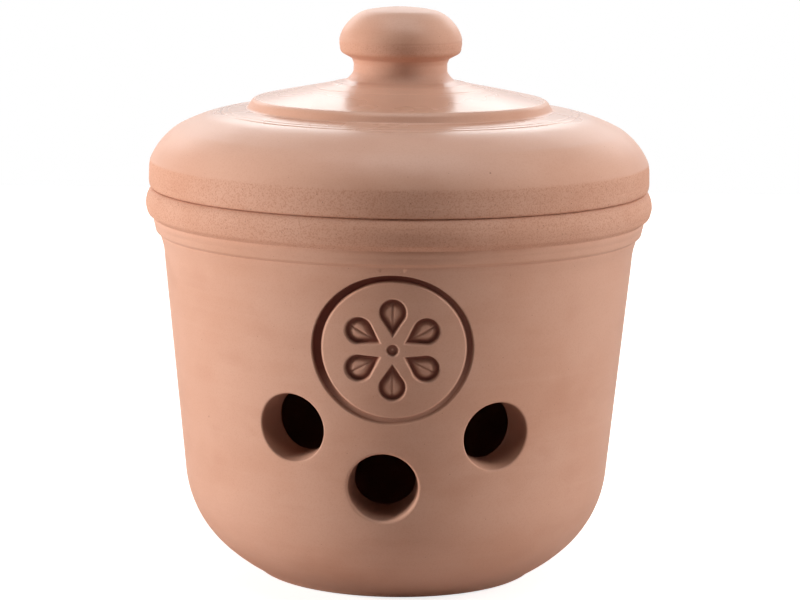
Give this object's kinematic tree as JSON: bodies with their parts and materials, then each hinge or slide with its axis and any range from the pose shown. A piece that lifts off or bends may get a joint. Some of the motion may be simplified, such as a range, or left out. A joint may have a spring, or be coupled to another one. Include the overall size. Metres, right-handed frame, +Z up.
{
  "type": "garlic keeper",
  "caption": "Round turned terracotta jar with front vents, a beaded rim and a stamped medallion, closed by a lift-off domed lid with a knob.",
  "frame": {"origin": "centre of the jar's flat base, on the turning axis", "axes": "+Z up along the turning axis towards the knob, -Y out of the front with the medallion and vents, +X to the right seen from the front"},
  "size_m": [0.1338, 0.1338, 0.15],
  "materials": {
    "terracotta_jar": "unglazed, satin smooth body with a grainy rim bead",
    "terracotta_lid": "unglazed, satin smooth dome with a grainy edge band"
  },
  "bodies": {
    "jar": {"jar": "terracotta_jar"},
    "lid": {"lid": "terracotta_lid"}
  },
  "joints": [
    {"name": "lid_lift", "type": "slide", "parent": "jar", "child": "lid", "axis": [0, 0, 1], "range_m": [0, 0.12]}
  ]
}
